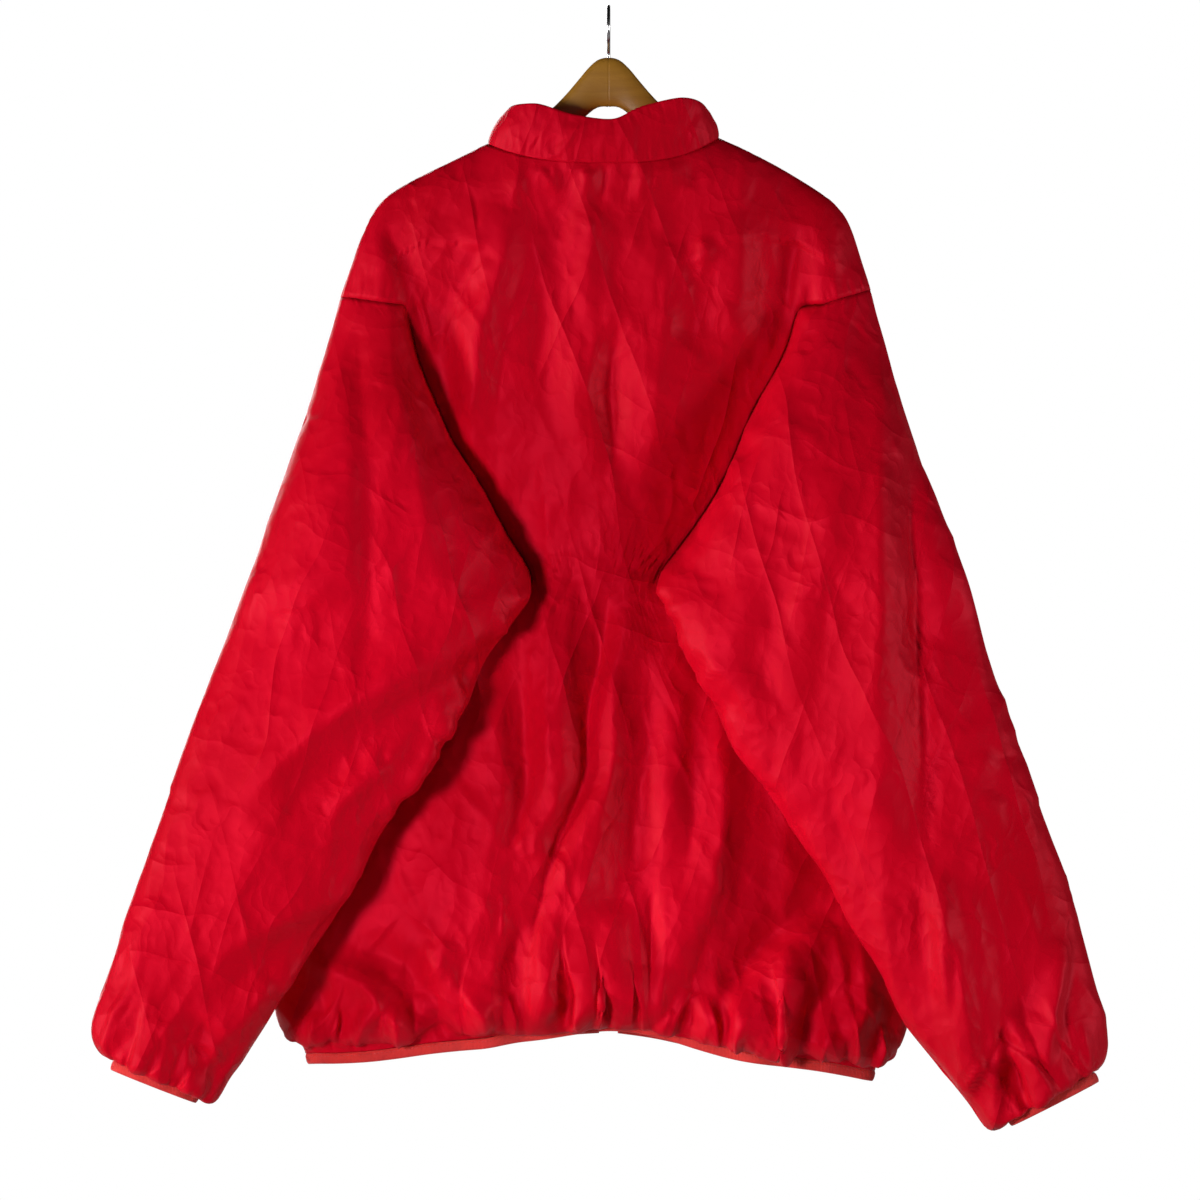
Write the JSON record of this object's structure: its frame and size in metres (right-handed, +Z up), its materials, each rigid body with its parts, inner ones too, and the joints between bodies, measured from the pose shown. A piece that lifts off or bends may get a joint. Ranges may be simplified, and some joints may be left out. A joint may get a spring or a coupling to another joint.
{
  "type": "padded jacket on a wooden hanger",
  "caption": "Hip-length padded jacket with a stand collar, very full sleeves, elastic-bound hem and cuffs and a full zip, hanging on a wooden hanger with a wire hook.",
  "frame": {"origin": "top of the inside of the hanger's hook, where a rod bears", "axes": "+Z up, +Y out of the garment's front, where the zip is, +X to the wearer's right"},
  "size_m": [0.876, 0.1767, 0.9679],
  "materials": {
    "shell": "satin red woven nylon",
    "binding": "matte red elastic binding",
    "zip_tape": "matte red woven tape",
    "zip_teeth": "red moulded plastic",
    "zip_metal": "dull metal",
    "wood": "satin varnished wood",
    "steel": "bright steel wire"
  },
  "bodies": {
    "garment": {"back": "shell", "front_left": "shell", "front_right": "shell", "sleeve_left": "shell", "sleeve_right": "shell", "collar": "shell", "hem_binding": "binding", "cuff_binding_left": "binding", "cuff_binding_right": "binding", "zip_tape_left": "zip_tape", "zip_tape_right": "zip_tape", "zip_teeth_left": "zip_teeth", "zip_teeth_right": "zip_teeth", "zip_slider": "zip_metal", "hanger_wood": "wood", "hanger_hook": "steel"},
    "pull_tab": {"zip_pull": "zip_metal"}
  },
  "joints": [
    {"name": "pull_tab_hinge", "type": "hinge", "parent": "garment", "child": "pull_tab", "pos_m": [0, 0.04851, -0.1534], "axis": [1, 0, 0], "range_deg": [0, 150]}
  ]
}
